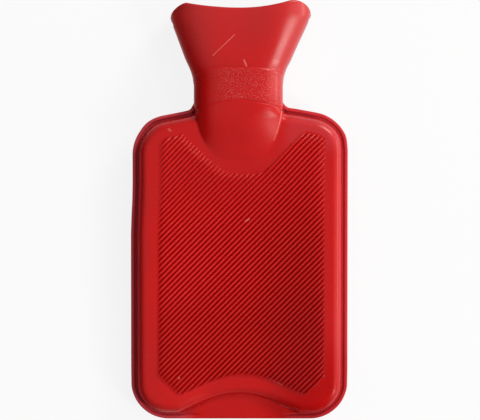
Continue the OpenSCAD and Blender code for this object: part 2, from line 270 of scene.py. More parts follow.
def outerHeight(x, y):
    # Height of the skin over the middle plane: a rounded bead, a groove and a rounded edge by the depth
    # inside the outline, a flat tab under its arch, and a squared oval for tongue, neck and funnel.
    depth = rimInset(x, y)
    arch = archAt(x) * (y < 0)
    aside = np.abs(1 - np.clip(depth, 0, body["bead"]) * 2 / body["bead"])
    bead = body["beadHeight"] * np.maximum(0, 1 - aside ** 3.2) ** (1 / 3.2)
    floor = mix(body["webHeight"], body["beadHeight"], smooth(2.4 * arch)) * smooth(depth / 1.2)
    inset = tabInset(x, y, depth)
    floor = floor - 0.5 * np.exp(-((inset - body["wallStart"] + 0.6) / 0.6) ** 2) * smooth(2.4 * arch)
    wall = quarter(inset, body["wallStart"], body["wallRun"], body["halfThickness"], 2.5)
    here = 1 - smooth((y - filletC[1] + 1) / 3)
    skin = softMax(softMax(floor, bead, 0.25 * smooth(depth)), wall, 0.5 * smooth(depth - 2)) * here
    wide, thick, power = tongue(y)
    oval = thick * np.maximum(0, 1 - np.clip(np.abs(x) / wide, 0, 1) ** power) ** (1 / power)
    over = 1 - (np.abs(x) / capWide(y)) ** mix(3.4, 2.1, smooth((x + 12) / 20))
    over = np.where(over > 0, over, 12 * over)  # falls steeply beside the tongue
    cap = np.where(y > neck["capTip"], body["halfThickness"] + capRise(y) * over, 0)
    rise = mix(np.maximum(cap, 0), oval, smooth((y - 62) / 9))
    rise = rise + (neck["bandRise"] * bandAt(x, y) - neck["bandLine"] * bandLine(x, y)) * smooth(rise / 8)
    blend = mix(0.3, neck["soften"], smooth((y - 60) / 6) + smooth((44 - y) / 6)) * here * smooth(depth / 3)
    return softMax(skin, rise, blend)


def underRibs(x, y):  # the skin dips out of the way under the sheet of ribs, but for the field's edge
    return 0.5 * smooth((fieldDepth(x - ribs["aside"], y) - 1.5) / 3)


def sagAt(x, y):
    # The empty bottle's front sinks: a parabola across the panel to the power 1.3, faded out at its ends,
    # and a slump in the middle of its lower end, towards the tab. Both are nothing at the rim.
    flat = quarter(tabInset(x, y, rimInset(x, y)), body["wallStart"], body["wallRun"], 1.0, 2.5)
    across = (body["sag"] * np.maximum(0, 1 - (x / 58) ** 2) ** 1.3
              * smooth((y + 128) / 45) * smooth((42 - y) / 50))
    return flat * (across + body["slump"] * smooth((56 - np.abs(x)) / 40) * smooth((-88 - y) / 38))


def dishAt(x, y):  # the funnel's front is dished between its two shoulders: a squared cosine across
    wide = 0.72 * neckHalf(y)
    return funnel["dish"] * smooth((y - 94) / 22) * np.cos(np.pi / 2 * np.clip(np.abs(x) / wide, 0, 1)) ** 2


def innerHeight(x, y):
    # The hollow: the rounded edge one wall further in, and the passage to the socket.
    depth = tabInset(x, y, bodyInset(x, y))
    start, high = body["wallStart"] + body["wall"], body["halfThickness"] - body["wall"]
    inside = quarter(depth, start, body["wallRun"], high)
    wide, thick, power = passage(y)
    rise = thick * np.maximum(0, 1 - np.clip(np.abs(x) / wide, 0, 1) ** power) ** (1 / power)
    return softMax(inside, rise, smooth(inside))


def passage(y):  # the tongue one wall further in, narrowing to the socket's round bore
    wide, thick, _ = tongue(np.minimum(y, body["root"]))
    k = smooth((y - 54) / (seat["bottom"] - 54))
    return mix(wide - 3.5, seat["boreR"], k), mix(thick - 2.2, seat["boreR"], k), mix(3.0, 2.0, k)


def lipAt(x):
    # Height of the lip: a shallow parabola between the corners of the ears, and beyond them a rounded
    # fall along a superellipse. The left corner stands lower and is blunter than the right one.
    right = smooth((x + 30) / 60)
    rise = mix(funnel["riseLeft"], funnel["riseRight"], right)
    u = np.abs(x) / funnel["halfSpan"]
    end = funnel["earHalf"] + funnel["lean"] * np.sign(x)
    v = np.clip((np.abs(x) - funnel["halfSpan"]) / (end - funnel["halfSpan"]), 0, 1)
    power = mix(funnel["roundLeft"], funnel["roundRight"], right)
    drop = mix(funnel["dropLeft"], funnel["dropRight"], right)
    return funnel["dip"] + rise * np.minimum(u, 1) ** 2 - drop * (1 - (1 - v ** power) ** (1 / power))


def leanAt(y, s):  # the funnel leans a little to the right, and its left side is fuller half way up
    full = funnel["fullLeft"] * smooth((y - 88) / 16) * smooth((137 - y) / 12) * smooth(-s)
    return funnel["lean"] * smooth((y - 95) / 42) - full


def bottleSurface():
    # One closed skin. Each row runs all around at its height: x is the row's half width times the sine
    # of the angle, and front and back stand off the middle plane by the row's height there, which sags
    # and is dished at the front. The rows go up the outside, over the rounded lip, down the funnel's
    # inside, through the socket's seat, and down the hollow, and the first and last row are folded flat.
    angle = 2 * np.pi * np.arange(around) / around - np.pi / 2
    s, c = np.sin(angle)[None, :], np.cos(angle)[None, :]
    side = np.where(c >= 0, 1.0, -0.996)  # the back is a hair flatter and so stays clear of the floor
    edge = np.abs(s) > 1 - 1e-12  # the two columns where front and back meet
    first = np.array([0, 0.03, 0.12, 0.27, 0.48, 0.75, 1.05, 1.4])
    ys = np.concatenate([
        body["bottom"] + first, body["bottom"] + np.arange(1.8, 22, 0.5), np.linspace(-119.4, 30, 14),
        np.arange(31.2, 46, 1.2), np.arange(46.4, 60, 0.62), np.arange(60.2, 75, 0.38),
        np.linspace(75.6, neck["flare"], 10)])
    flatY = np.repeat(ys[:, None], around, 1)
    x = halfWidthAt(flatY) * s
    outer = np.stack([x, flatY, outerHeight(x, flatY) * side
                      - (sagAt(x, flatY) + underRibs(x, flatY)) * (c > 1e-9)], -1)

    lip = lipAt(funnel["earHalf"] * s + funnel["lean"])
    radius = funnel["wall"] / 2
    bandRows = np.concatenate([[86.5, 88.6, 90], np.arange(90.6, 97.6, 0.42), [98.4, 99.6, 101.2]])
    v = np.linspace(0, 1, 24)[1:, None]
    upY = np.concatenate([np.repeat(bandRows[:, None], around, 1), mix(101.2, lip - radius, v)])
    notch = 0.7 * np.exp(-((upY - np.where(s > 0, 128.6, 125.8)) / 0.9) ** 2) * np.abs(s) ** 400
    x = (neckHalf(upY) - notch) * s
    front = c > 1e-9
    up = np.stack([x + leanAt(upY, s), upY, outerHeight(x, upY) * side - dishAt(x, upY) * front], -1)
    seam = 0.3 * edge * smooth((up[..., 1] - 80) / 6)  # the mould's parting line down both edges
    up[..., 0] += seam * np.sign(s)

    # The lip is half a circle of the wall's thickness, square to the row it starts from.
    top = up[-1]
    turn = np.roll(top, -1, 0) - np.roll(top, 1, 0)
    out = np.stack([-turn[:, 2], np.zeros(around), turn[:, 0]], -1)
    out /= np.linalg.norm(out, axis=1, keepdims=True)
    phi = np.radians(np.linspace(0, 180, 11))[1:-1, None, None]
    over = top - out * radius * (1 - np.cos(phi)) + np.array([0, radius, 0]) * np.sin(phi)
    inner = top - 2 * radius * out

    w = np.linspace(0, 1, 20)[:, None]
    downY = mix(inner[None, :, 1], seat["top"], w)
    k = smooth((downY - seat["top"]) / 14)
    wide, thick = mix(seat["floorR"], neckHalf(downY) - 3, k), mix(seat["floorR"], neckThick(downY) - 3, k)
    power = mix(2.0, 2.7, k)
    downZ = thick * (1 - np.abs(s) ** power) ** (1 / power) * side - dishAt(wide * s, downY) * front
    down = np.stack([wide * s + leanAt(downY, s) * k, downY, downZ], -1)
    down = mix(down, inner[None] + np.array([0, 1, 0]) * (downY - inner[None, :, 1])[..., None],
               (1 - smooth(w / 0.2))[..., None])

    ledge, foot = seat["top"] - seat["collar"], seat["bottom"] + seat["collar"] + 0.05
    rings = [(seat["collarR"], seat["top"]), (seat["collarR"], ledge), (seat["wallR"], ledge),
             (seat["wallR"], foot), (seat["footR"], foot), (seat["footR"], seat["bottom"] - 0.05),
             (seat["boreR"], seat["bottom"] - 0.05)]
    r, ry = np.array(rings).T[:, :, None]
    socket = np.stack([r * s, ry + 0 * s, r * c], -1)

    low = body["bottom"] + body["wallStart"] + body["wall"]
    hollowY = np.concatenate([np.linspace(68.6, 56, 9), np.linspace(53, 33, 7), np.linspace(25, -108, 7),
                              np.linspace(-112, low + 0.4, 12), [low + 0.1, low]])
    hollowY = np.repeat(hollowY[:, None], around, 1)
    x = np.maximum(halfWidthAt(hollowY, body["wallStart"] + body["wall"]), passage(hollowY)[0]) * s
    hollow = np.stack([x, hollowY, innerHeight(x, hollowY) * side - sagAt(x, hollowY) * front], -1)

    points = np.concatenate([outer, up, over, down, socket, hollow])
    points[:, edge[0], 2] = 0
    points[[0, -1], :, 2] = 0
    ids = np.arange(points.shape[0] * around).reshape(points.shape[0], around)
    column = np.arange(around)  # the first and last row use the front's points for the back as well
    fold = np.where(column <= around // 2, column, around - column)
    ids[0], ids[-1] = ids[0][fold], ids[-1][fold]
    return points, ids


def addAttribute(made, name, values):  # one number per point, which the material reads
    layer = made.data.attributes.new(name, "FLOAT", "POINT")
    layer.data.foreach_set("value", np.asarray(values, np.float32).ravel())


points, ids = bottleSurface()
bottle = makeMesh("bottle_skin", points, gridFaces(ids, True), "shell", 50)

# Amounts of the wear and of the painted light and shade, each spread by ramps over its place.
wearAndPaintedLight = {
    "leftGrain": 0.12, "flank": 0.22, "corner": 0.25, "foot": 0.06, "rightRim": 0.6, "shoulder": 0.45,
    "rightSheen": 0.95, "neckSheen": 3.0, "paintedLight": 0.68, "shadeRight": 0.3, "shadeFoot": 0.24,
    "ribBloom": 0.15, "tipBloom": 0.6,
}
bx, by = points[..., 0], points[..., 1]
outside = np.arange(len(points))[:, None] < 200  # the rows up to the lip

# This attribute is the pebbled band; it fades out towards the left, where its pale tops, partly a painted
# highlight, give way to painted shade.
pebbled = bandAt(bx, by) * smooth((np.abs(bx) - 30) / -3) * mix(wearAndPaintedLight["leftGrain"], 1, smooth((bx + 23) / 12))
addAttribute(bottle, "grain", pebbled * outside)

# This attribute is painted shade: a bell across the rim's groove at the left, the tongue's left flank, which
# is also duller, the lower right corner, and a little along the bottom edge.
inGroove = np.exp(-((rimInset(bx, by) - 3.2) / 0.75) ** 2) * smooth((-bx - 20) / 20) * (by < 76)
flank = (wearAndPaintedLight["flank"] * smooth((-bx - 15) / 9) * smooth((by - 40) / 10) * smooth((100 - by) / 10)
         * smooth((capWide(by) + 1 + bx) / 1.5))
corner = (wearAndPaintedLight["corner"] * smooth((bx - 5) / 45) * smooth((-72 - by) / 45)
          + wearAndPaintedLight["foot"] * smooth((-126 - by) / 8))
addAttribute(bottle, "paintedShade", np.maximum(inGroove, flank + corner) * outside)

# This attribute is the paler rim, but for the tab and the neck, and the right shoulder: dust on the rim
# together with painted light that lifts the shaded bead at the left, and a painted sheen on the right
# shoulder.
offNeck = np.maximum(by < 58, smooth((np.abs(bx) - 29) / 3)) * (by < 76)
onRim = (smooth((4.4 - rimInset(bx, by)) / 0.8) * offNeck * mix(1, wearAndPaintedLight["rightRim"], smooth(bx / 30))
         * (1 - smooth(2.4 * archAt(bx)) * (by < 0)))
shoulder = wearAndPaintedLight["shoulder"] * smooth((bx - 26) / 12) * smooth((by - 34) / 14) * offNeck
addAttribute(bottle, "dustAndPaintedLight", np.maximum(onRim, shoulder) * outside)

# This attribute is a painted sheen set by which way the skin faces the lamps: 1 where the skin faces left,
# away from them, which is dull, and below 0 where it faces right, towards them, which has the most sheen,
# above all on neck and funnel. It goes by the normal, the cross product of the grid's steps.
run = np.roll(points, -1, 1) - np.roll(points, 1, 1)
rise = np.gradient(points, axis=0)
facing = np.cross(run, rise)
facing /= np.maximum(np.linalg.norm(facing, axis=2, keepdims=True), 1e-9)
away = -facing @ np.array([np.cos(np.radians(15)), np.sin(np.radians(15)), 0])
offRim = np.maximum(smooth((rimInset(bx, by) - 2.2) / 0.8), by > 70)
litSheen = smooth((-away - 0.15) / 0.5) * mix(wearAndPaintedLight["rightSheen"], wearAndPaintedLight["neckSheen"], smooth((by - 72) / 12))
addAttribute(bottle, "bloom", (smooth((away - 0.25) / 0.5) - litSheen) * offRim * outside)
print("bottle", len(bottle.data.polygons))


# Ribs

def ribSurface():
    # Parallel ridges, steeper on their upper left: across them the height is one less a share of the
    # distance from the crest, under a root of its square that rounds the crest, and along them it falls
    # in a power curve at each end. The ends are found by halving the run from a seed on the diagonal.
    along = np.array([np.cos(ribs["angle"]), np.sin(ribs["angle"])])
    across = np.array([along[1], -along[0]])
    middle = np.array([0, (fieldLow + fieldHigh) / 2])
    reach = np.array([fieldHalf, -(fieldHigh - fieldLow) / 2])
    count = 2 * int((reach @ across) / ribs["pitch"]) + 1
    phase = (np.arange(count)[:, None] - (count - 1) / 2 + np.array(ribs["steps"])).ravel()
    s = phase * ribs["pitch"]
    seed = middle + reach * (s / (reach @ across))[:, None]

    def runTo(sign):
        low, high = np.zeros(len(s)), np.full(len(s), 220.0)
        for _ in range(20):
            half = (low + high) / 2
            p = seed + sign * half[:, None] * along
            ok = fieldDepth(p[:, 0], p[:, 1]) > 0
            low, high = np.where(ok, half, low), np.where(ok, high, half)
        return low

    up, down = runTo(1), runTo(-1)
    length = (up + down)[:, None]
    upper = np.array([-0.5, 0, 0.2, 0.6, 1.2, 2.1, 3.4, 5.3])
    lower = np.array([-0.5, 0, 0.2, 0.5, 1.0, 1.8, 2.9, 4.2, 6.0])
    share = np.concatenate([lower + 0 * length, length * np.linspace(0.1, 0.92, 15), length - upper[::-1]], 1)
    share = np.sort(np.clip(share, -0.5, length + 0.5), 1)
    fromEnd = np.minimum(share, length - share)
    side = (phase + 0.5) % 1 - 0.5 - ribs["crest"]
    side = np.where(side < 0, side / (0.5 + ribs["crest"]), side / (0.5 - ribs["crest"])) / 0.82
    away = (np.sqrt(side ** 2 + 0.005) - 0.07)[:, None]
    lowEnd = 1 - np.clip(1 - share / 6.5, 0, 1) ** 1.3
    highEnd = 1 - np.clip(1 - (length - share) / 5.5, 0, 1) ** 1.2
    tip = lowEnd * highEnd * smooth((length - 3) / 12)
    ridge = np.clip(tip - away, 0, 1)
    base = mix(-0.05, 0.03, smooth((fromEnd + 0.5) / 0.6))
    base[[0, -1]] = -0.05
    xy = seed[:, None] + (share - down[:, None])[..., None] * along + np.array([ribs["aside"], 0])
    z = body["halfThickness"] + base + ribs["height"] * ridge - sagAt(xy[..., 0], xy[..., 1])
    # The shade is above 0 on the crests and below 0 between them, and fades out towards the tips.
    fade = np.where(ridge > 0.45 * tip, smooth(2.5 * tip), smooth(1.2 * tip))
    return np.concatenate([xy, z[..., None]], -1), (ridge / np.maximum(tip, 0.2) - 0.45) * fade


ribPoints, ribShade = ribSurface()
ribIds = np.arange(ribPoints.shape[0] * ribPoints.shape[1]).reshape(ribPoints.shape[:2])
ribPatch = makeMesh("bottle_ribs", ribPoints, gridFaces(ribIds, False)[:, ::-1], "shell", 80)
# This attribute is painted light on the ribs: a painted highlight on the crests and painted shade in the
# valleys. The painted shade in the valleys is lightest towards the neck and darkest towards the tab and the
# lower right. That extra painted shade darkens without dulling, so less bloom makes up for what it takes from
# the sheen. The crests have more bloom near the ends of the ribs.
rx, ry = ribPoints[..., 0], ribPoints[..., 1]
valleyLift = wearAndPaintedLight["paintedLight"] * smooth((ry + 35) / 65) * (1 - 0.4 * smooth((rx - 10) / 30))
paintedRibShade = (wearAndPaintedLight["shadeRight"] * smooth((rx + 5) / 45) * smooth((20 - ry) / 60)
        + wearAndPaintedLight["shadeFoot"] * smooth((-35 - ry) / 50))
nearEnd = smooth((5 - fieldDepth(rx - ribs["aside"], ry)) / 3.5)
addAttribute(ribPatch, "rib", np.where(ribShade < 0, ribShade * (1 - valleyLift), ribShade))
addAttribute(ribPatch, "paintedShade", paintedRibShade)
bloomed = wearAndPaintedLight["ribBloom"] - 3 * paintedRibShade + wearAndPaintedLight["tipBloom"] * nearEnd * smooth(4 * ribShade)
addAttribute(ribPatch, "bloom", bloomed)
print("ribs", len(ribPatch.data.polygons))
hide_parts("bottle")


# Socket, washer and stopper. The play is the gap between the threads, and the top is the flange's seat.
screw = {
    "pitch": 3.5, "crestR": 11.0, "rootR": 9.85, "play": 0.2, "top": 93.3, "length": 20.0, "around": 72,
    "flangeR": 14.8, "flange": 2.5, "hubR": 8.0, "wingHalf": 14.5, "wingThick": 6.0, "wingHeight": 26.0,
    "corner": 7.0, "edgeR": 1.4, "dimple": 1.4, "dimpleR": 5.8,
}
insert = {"mouthR": 11.2, "collarR": 15.0, "wallR": 12.55, "footR": 14.35}
gasket = {"innerR": 11.05, "outerR": 14.8, "thick": 2.0}


def threadAt(turn, y, shift):
    # Share of the thread's depth: a cosine along the helix, cut off flat at crest and root, one pitch for
    # each right-hand turn. The shift widens the crest.
    phase = y / screw["pitch"] - turn / (2 * np.pi)
    return np.clip(0.5 + shift + 0.9 * np.cos(2 * np.pi * phase), 0, 1)


def turned(profile, thread=None):
    # A profile of radii and heights carried around the screw's axis; thread adds its depth to the radius.
    turn = 2 * np.pi * np.arange(screw["around"])[None, :] / screw["around"]
    r, y = profile[:, :1] + 0 * turn, profile[:, 1:2] + 0 * turn
    if thread is not None:
        r = r + thread(turn, y, profile[:, 2:3])
    return np.stack([r * np.sin(turn), y, r * np.cos(turn)], -1)


def joined(*grids):  # closed-around grids as one list of points and faces, a row at a pole as one point
    points, faces, start = [], [], 0
    for grid in grids:
        ids = start + np.arange(grid.shape[0] * grid.shape[1]).reshape(grid.shape[:2])
        for row in (0, -1):
            if np.ptp(grid[row], axis=0).max() < 1e-9:
                ids[row] = ids[row, 0]
        faces.append(gridFaces(ids, True))
        points.append(grid.reshape(-1, 3))
        start += grid.shape[0] * grid.shape[1]
    return np.concatenate(points), np.concatenate(faces)


def cleanMesh(made):  # merges the points of poles and drops faces without an area
    work = bmesh.new()
    work.from_mesh(made.data)
    bmesh.ops.remove_doubles(work, verts=work.verts, dist=1e-7)
    bmesh.ops.dissolve_degenerate(work, edges=work.edges, dist=1e-8)
    bmesh.ops.recalc_face_normals(work, faces=work.faces)
    work.to_mesh(made.data)
    work.free()


def ringProfile(corners, r, n):
    # A closed outline of radius and height with each corner rounded by a quadratic curve of n points.
    c = np.array(corners, float)
    before, after = np.roll(c, 1, 0), np.roll(c, -1, 0)
    reachBack = np.minimum(r, np.linalg.norm(before - c, axis=1) * 0.45)[:, None]
    reachOn = np.minimum(r, np.linalg.norm(after - c, axis=1) * 0.45)[:, None]
    a = c + (before - c) / np.linalg.norm(before - c, axis=1)[:, None] * reachBack
    b = c + (after - c) / np.linalg.norm(after - c, axis=1)[:, None] * reachOn
    t = np.linspace(0, 1, n)[None, :, None]
    return ((1 - t) ** 2 * a[:, None] + 2 * t * (1 - t) * c[:, None] + t * t * b[:, None]).reshape(-1, 2)


# The socket's bore is a thread that stands clear of the stopper's by the play on every side. The sleeve
# around it has no corner of its own at the bottom, where the bore closes it.
boreY = np.linspace(seat["top"] - 1.0, seat["bottom"] + 0.8, 70)
low, high, thick = seat["bottom"], seat["top"], seat["collar"]
sleeve = ringProfile([(screw["rootR"] + 0.35, low), (insert["footR"], low), (insert["footR"], low + thick),
                      (insert["wallR"], low + thick), (insert["wallR"], high - thick),
                      (insert["collarR"], high - thick), (insert["collarR"], high),
                      (insert["mouthR"], high)], 0.3, 4)[4:]
boreR = np.stack([np.full(70, screw["rootR"] + screw["play"]), boreY, np.full(70, 0.1)], -1)
socketProfile = np.concatenate([np.c_[sleeve, np.zeros(len(sleeve))], boreR])
isBore = (np.arange(len(socketProfile)) >= len(sleeve))[:, None]


def boreThread(turn, y, shift):  # opens to the full depth at both ends, so that the screw finds its way in
    fade = smooth((seat["top"] - y) / 2.2) * smooth((y - seat["bottom"]) / 1.5)
    cut = (screw["crestR"] - screw["rootR"]) * threadAt(turn, y, shift)
    return np.where(isBore, mix(1.15, cut, fade), 0)


socketGrid = turned(socketProfile, boreThread)
socketGrid = np.concatenate([socketGrid, socketGrid[:1]])
socket = makeMesh("socket_brass", *joined(socketGrid), "shell", 35)
cleanMesh(socket)
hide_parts("neck_socket")

high = seat["top"] + gasket["thick"]
washerGrid = turned(ringProfile([(gasket["innerR"], seat["top"]), (gasket["outerR"], seat["top"]),
                                 (gasket["outerR"], high), (gasket["innerR"], high)], 0.5, 6))
washer = makeMesh("washer_rubber", *joined(np.concatenate([washerGrid, washerGrid[:1]])), "washer", 60)
cleanMesh(washer)
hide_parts("sealing_washer")


top, base = screw["top"], screw["top"] - gasket["thick"] - screw["length"]


def shankThread(turn, y, shift):
    # The thread runs out at the tip and under the flange, where the shank is plain.
    fade = smooth((top - 1.5 - y) / 2) * smooth((y - (base + 0.6)) / 1.8)
    return (screw["crestR"] - screw["rootR"]) * threadAt(turn, y, shift) * fade * (y < top - 0.5)


# Radii and heights from the hollow tip, up the shank, around the flange and over the wing's hub.
shankY = np.linspace(base + 0.9, top - 0.6, 84)
flangeR, flangeTop, hubR = screw["flangeR"], top + screw["flange"], screw["hubR"]
stopperProfile = np.concatenate([
    [(0, base + 3), (6.6, base + 3), (7.0, base + 2.7), (7.2, base + 0.3), (7.5, base), (9.0, base),
     (9.6, base + 0.4)],
    np.stack([np.full(84, screw["rootR"]), shankY], -1),
    [(screw["rootR"], top), (14.4, top), (14.7, top + 0.1), (flangeR, top + 0.4), (flangeR, top + 1.9),
     (14.6, top + 2.3), (14.2, flangeTop), (10.2, flangeTop), (9.2, top + 2.9), (8.4, top + 4.2),
     (hubR, top + 5.6), (7.4, top + 6.3), (0, top + 6.6)]])
shankGrid = turned(np.c_[stopperProfile, np.zeros(len(stopperProfile))], shankThread)


def wingGrid():
    # The outline is two arcs to a side over a narrow foot. Each ring is that outline drawn in towards the
    # middle. The edge is a quarter circle, and a parabola of a dimple is sunk in each flat face.
    r, half, high = screw["corner"], screw["wingHalf"], screw["wingHeight"]
    low = 0.35 * high
    arc = np.radians(np.linspace(-90, 0, 9))
    right = np.concatenate([
        [(4, 0), (half - r, 0), (half - r, 1)],
        np.c_[half - r + r * np.cos(arc[1:]), low + r * np.sin(arc[1:])],
        np.c_[np.full(4, half), np.linspace(low, high - r, 6)[1:-1]],
        np.c_[half - r + r * np.cos(arc + np.pi / 2), high - r + r * np.sin(arc + np.pi / 2)],
        [(3.75, high)]])
    line = np.concatenate([right, [(0, high)], (right * [-1, 1])[::-1], [(0, 0)]])
    middle = np.array([0, 0.55 * high])
    thick = screw["wingThick"] / 2
    edge = np.radians(np.linspace(0, 90, 6))
    inward = np.concatenate([1 - screw["edgeR"] * (1 - np.cos(edge)) / 12, np.linspace(0.84, 0, 12)])
    level = np.concatenate([thick - screw["edgeR"] + screw["edgeR"] * np.sin(edge), np.full(12, thick)])
    xy = middle + inward[:, None, None] * (line - middle)
    away = np.hypot(xy[..., 0], xy[..., 1] - 0.58 * high)
    dimple = screw["dimple"] * np.maximum(0, 1 - (away / screw["dimpleR"]) ** 2)
    z = level[:, None] - dimple
    front = np.stack([xy[..., 0], xy[..., 1] + top + screw["flange"] - 0.2, z], -1)
    return np.concatenate([front[::-1], front * [1, 1, -1]])


stopper = makeMesh("stopper_plastic", *joined(shankGrid, wingGrid()), "plug", 38)
cleanMesh(stopper)
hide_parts("stopper")
print("screw fitted")


# Floor, background and light

def toLinear(hexColour):  # sRGB hex to linear RGBA
    v = np.array([int(hexColour[i:i + 2], 16) / 255 for i in (1, 3, 5)])
    v = np.where(v <= 0.04045, v / 12.92, ((v + 0.055) / 1.055) ** 2.4)
    return (*v.tolist(), 1.0)


def addNode(tree, kind, inputs=(), **settings):  # one node, its settings, and its inputs as values or links
    made = tree.nodes.new(kind)
    for key, value in settings.items():
        setattr(made, key, value)
    for key, value in dict(inputs).items():
        if isinstance(value, bpy.types.NodeSocket):
            tree.links.new(value, made.inputs[key])
        else:
            made.inputs[key].default_value = value
    return made


def combined(tree, operation, *values):  # one sum, product or the like of numbers
    return addNode(tree, "ShaderNodeMath", dict(enumerate(values)), operation=operation).outputs[0]


def ranged(tree, value, low, high, first, last):  # a value between low and high as one from first to last
    return addNode(tree, "ShaderNodeMapRange", {0: value, 1: low, 2: high, 3: first, 4: last}).outputs[0]


def tinted(tree, amount, first, second):  # the first colour, turned to the second by the amount
    return addNode(tree, "ShaderNodeMix", {0: amount, 6: first, 7: second}, data_type="RGBA").outputs[2]


def newMaterial(name, *pieces):
    made = bpy.data.materials.new(name)
    made.use_nodes = True
    made.node_tree.nodes.clear()
    for piece in pieces:
        piece.data.materials.clear()
        piece.data.materials.append(made)
    return made.node_tree


def whiteToEye(tree, strength):  # how much of the plain white a camera, glossy or transmission ray sees
    rays = addNode(tree, "ShaderNodeLightPath")
    seen = combined(tree, "MAXIMUM", rays.outputs["Is Camera Ray"], rays.outputs["Is Glossy Ray"])
    seen = combined(tree, "MAXIMUM", seen, rays.outputs["Is Transmission Ray"])
    return combined(tree, "MULTIPLY", seen, strength)


# White paper, which the camera and reflections see as nearly plain white, with a soft shadow on it.
floorMesh = bpy.data.meshes.new("floor")
floorMesh.from_pydata([(-3, -3, 0), (3, -3, 0), (3, 3, 0), (-3, 3, 0)], [], [(0, 1, 2, 3)])
floor = bpy.data.objects.new("floor", floorMesh)
bpy.context.scene.collection.objects.link(floor)
tree = newMaterial("matte_white_paper", floor)
paper = addNode(tree, "ShaderNodeBsdfDiffuse", {"Color": toLinear("#e6e6e6")})
glow = addNode(tree, "ShaderNodeEmission", {"Color": toLinear("#ffffff"), "Strength": 1.0})
both = addNode(tree, "ShaderNodeMixShader", {
    0: whiteToEye(tree, 0.86), 1: paper.outputs[0], 2: glow.outputs[0]})
addNode(tree, "ShaderNodeOutputMaterial", {"Surface": both.outputs[0]})

world = bpy.data.worlds.new("studio")
bpy.context.scene.world = world
world.use_nodes = True
tree = world.node_tree
tree.nodes.clear()
soft = addNode(tree, "ShaderNodeBackground", {"Color": toLinear("#eef0ff"), "Strength": 0.17})
white = addNode(tree, "ShaderNodeBackground", {"Color": toLinear("#ffffff"), "Strength": 1.0})
both = addNode(tree, "ShaderNodeMixShader", {
    0: whiteToEye(tree, 1.0), 1: soft.outputs[0], 2: white.outputs[0]})
addNode(tree, "ShaderNodeOutputWorld", {"Surface": both.outputs[0]})


def addLight(name, azimuth, elevation, size, power, colour, mirrored=True):
    # A rectangular lamp 2.7 m from the middle of the bottle, which it faces. The azimuth is in degrees
    # from the bottle's right side towards its mouth, the elevation in degrees above the floor. One that
    # isn't mirrored lights the bottle but leaves no highlight on it.
    data = bpy.data.lights.new(name, "AREA")
    data.shape, data.energy, data.color = "RECTANGLE", power, toLinear(colour)[:3]
    data.size, data.size_y = size
    a, e = np.radians(azimuth), np.radians(elevation)
    made = bpy.data.objects.new(name, data)
    made.location = (2.7 * np.cos(a) * np.cos(e), 2.7 * np.sin(a) * np.cos(e), 2.7 * np.sin(e))
    made.rotation_mode = "QUATERNION"
    made.rotation_quaternion = (-made.location).to_track_quat("-Z", "Y")
    made.visible_glossy = mirrored
    bpy.context.scene.collection.objects.link(made)


addLight("key", 50, 30, (1.0, 0.7), 45.0, "#fff8f0")
addLight("side", -30, 36, (0.2, 1.2), 37.0, "#fffaf6")
addLight("low", 5, 7, (1.6, 0.24), 10.0, "#ffffff")
addLight("top", 30, 62, (1.0, 1.0), 13.0, "#ffffff", False)
addLight("fill", 190, 70, (1.6, 1.6), 7.5, "#f4f4ff", False)
print("stage set")


# Moulded natural rubber: dyed through and satin, so a broad soft sheen lies over a deep red. It is a little
# paler where it has been handled, the crests of the ribs carry a painted highlight, partly rubbed pale, and
# painted shade makes the red deepest between them.
# Of these colours, the crest's is a painted highlight, partly rubbed pale, the valley's and the darkest red
# are painted shade, the rim's is dust with painted light, and the palest is for real marks and for painted
# highlights.
rubberLook = {
    "deep": "#b80c0c", "pale": "#ca1210", "dust": "#c04a48", "crest": "#e24844", "valley": "#900202",
    "paintedShade": "#5c0a0a", "rim": "#c84c56", "grain": "#dc5a54", "marksAndPaintedLight": "#ee948c",
    "rough": 0.29, "dull": 0.02, "specular": 0.59, "grainMm": 0.85,
}

# Worn marks of the real bottle, painted highlights along edges and painted shade in a crease: two ends in
# millimetres on the floor's plan with the height of the skin there, half width, strength and tint.
marksAndPaintedLight = [
    ((-17.6, 103.0, 40.6), (-3.0, 117.0, 41.6), 0.44, 0.5, "marksAndPaintedLight"),
    ((3.2, 99.9, 41.0), (4.8, 96.2, 40.9), 0.85, 0.5, "marksAndPaintedLight"),
    ((-47.6, 54.2, 31.6), (-46.2, 53.0, 31.5), 0.9, 0.35, "marksAndPaintedLight"),
    ((4.2, -7.7, 25.2), (6.6, -6.2, 25.2), 0.75, 0.55, "marksAndPaintedLight"),
    ((18.8, -113.9, 21.0), (28.9, -118.5, 21.2), 0.4, 0.35, "marksAndPaintedLight"),
    ((-41.0, -113.2, 23.5), (-40.4, -114.2, 23.5), 0.7, 0.5, "marksAndPaintedLight"),
    # A painted highlight along the tongue's right crease, in three pieces.
    ((28.7, 66.3, 32.0), (27.1, 58.3, 31.7), 0.65, 0.6, "marksAndPaintedLight"),
    ((27.1, 58.3, 31.7), (25.2, 51.6, 31.5), 0.65, 0.45, "marksAndPaintedLight"),
    ((25.2, 51.6, 31.5), (23.3, 46.9, 31.3), 0.6, 0.3, "marksAndPaintedLight"),
    # A painted highlight along the foot of the arch's right half, in three pieces.
    ((19.5, -128.2, 13.9), (29.0, -132.5, 13.7), 0.55, 0.45, "marksAndPaintedLight"),
    ((29.0, -132.5, 13.7), (36.0, -135.5, 13.6), 0.8, 0.75, "marksAndPaintedLight"),
    ((36.0, -135.5, 13.6), (41.5, -137.6, 13.5), 0.55, 0.45, "marksAndPaintedLight"),
    # Painted shade along the tongue's left crease.
    ((-28.6, 62.5, 31.9), (-25.9, 52.0, 31.5), 0.9, 0.35, "paintedShade"),
    ((-25.9, 52.0, 31.5), (-21.9, 44.8, 31.2), 0.9, 0.3, "paintedShade"),
]


def vectorMath(tree, operation, inputs):
    return addNode(tree, "ShaderNodeVectorMath", inputs, operation=operation).outputs


